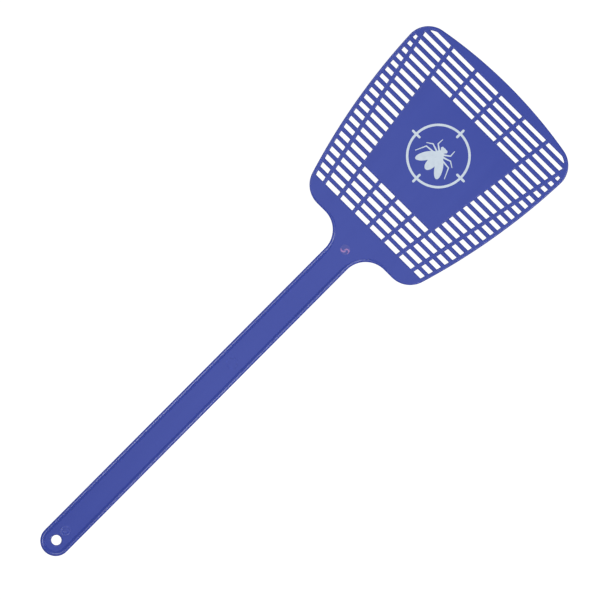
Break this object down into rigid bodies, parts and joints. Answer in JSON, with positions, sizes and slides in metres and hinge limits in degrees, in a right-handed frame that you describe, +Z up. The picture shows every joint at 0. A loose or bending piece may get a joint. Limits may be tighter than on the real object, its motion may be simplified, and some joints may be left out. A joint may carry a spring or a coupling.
{
  "type": "fly swatter",
  "caption": "Flat moulded fly swatter: slotted trapezoid paddle with a solid print panel, flared neck that flexes, and long beaded handle with a hanging hole.",
  "frame": {"origin": "centre of the bounding box on the underside, where it lies on a table", "axes": "+Y along the handle towards the paddle's tip, +X across the paddle, +Z up out of the beaded, printed face"},
  "size_m": [0.131, 0.406, 0.003],
  "materials": {
    "moulding": "deep blue polypropylene straight from the mould, soft satin sheen",
    "gate_mark": "the same plastic, whitened and pinkish in a swirl where it entered the mould",
    "ink": "pad-printed white ink, slightly translucent over the blue"
  },
  "bodies": {
    "handle": {"hang_eye": "moulding", "handle_web": "moulding", "end_bead": "moulding", "handle_bead_left": "moulding", "handle_bead_right": "moulding"},
    "head": {"neck_web": "moulding", "neck_bead_left": "moulding", "neck_bead_right": "moulding", "shoulder": "moulding", "rim_left": "moulding", "rim_right": "moulding", "side_grille_left": "moulding", "side_grille_right": "moulding", "lower_grille": "moulding", "upper_grille": "moulding", "imprint_panel": "moulding", "tip_band": "moulding", "gate_vestige": "gate_mark", "print_ring": "ink", "print_fly": "ink"}
  },
  "joints": [
    {"name": "neck_flex", "type": "hinge", "parent": "handle", "child": "head", "pos_m": [0, 0.032, 0.001], "axis": [1, 0, 0], "range_deg": [-25, 25], "stiffness_Nm_per_rad": 0.6}
  ]
}
